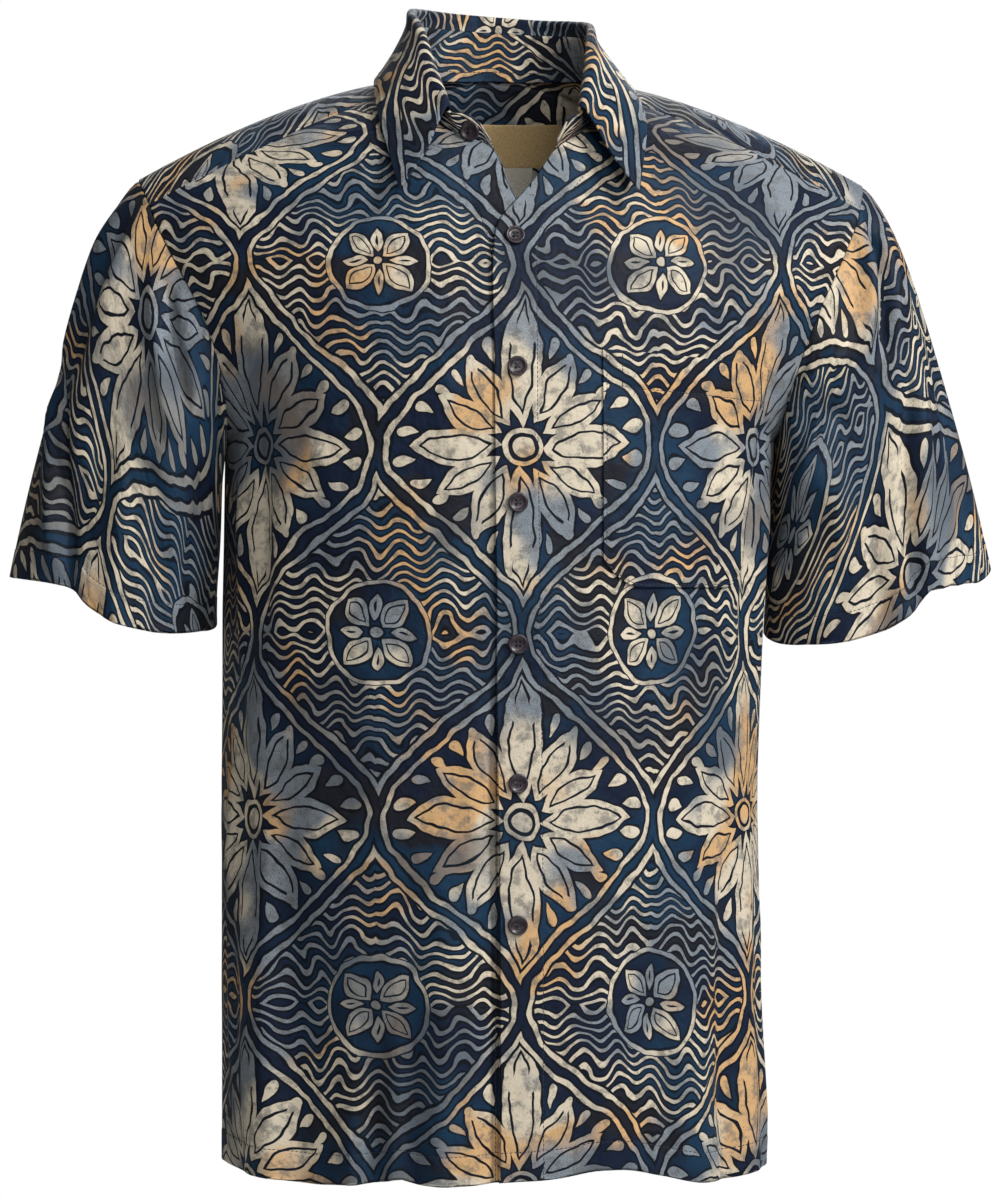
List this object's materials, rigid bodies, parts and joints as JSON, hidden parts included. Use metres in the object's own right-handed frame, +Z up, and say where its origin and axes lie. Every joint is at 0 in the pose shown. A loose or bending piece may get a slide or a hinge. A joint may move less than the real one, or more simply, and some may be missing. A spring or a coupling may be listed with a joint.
{
  "type": "short-sleeved batik shirt",
  "caption": "Hollow short-sleeved shirt in its worn form, buttoned down the front and open at the neck, with a turned-down collar and a chest pocket.",
  "frame": {"origin": "between the shoulders at the base of the neck, level with the points where the neck seam meets the shoulders; the wearer holds the shirt up there", "axes": "+Z up, the front faces -Y, the wearer's left is +X"},
  "size_m": [0.6915, 0.2921, 0.8161],
  "materials": {
    "cloth": "soft woven",
    "label": "satin woven",
    "tab": "satin woven",
    "button": "polished"
  },
  "bodies": {
    "root": {"front_left": "cloth", "front_right": "cloth", "back": "cloth", "yoke": "cloth", "sleeve_left": "cloth", "sleeve_right": "cloth", "collar_stand": "cloth", "collar_leaf": "cloth", "pocket": "cloth", "neck_label": "label", "care_tab": "tab", "button_1": "button", "button_2": "button", "button_3": "button", "button_4": "button", "button_5": "button", "button_6": "button", "button_stand": "button"}
  },
  "joints": []
}
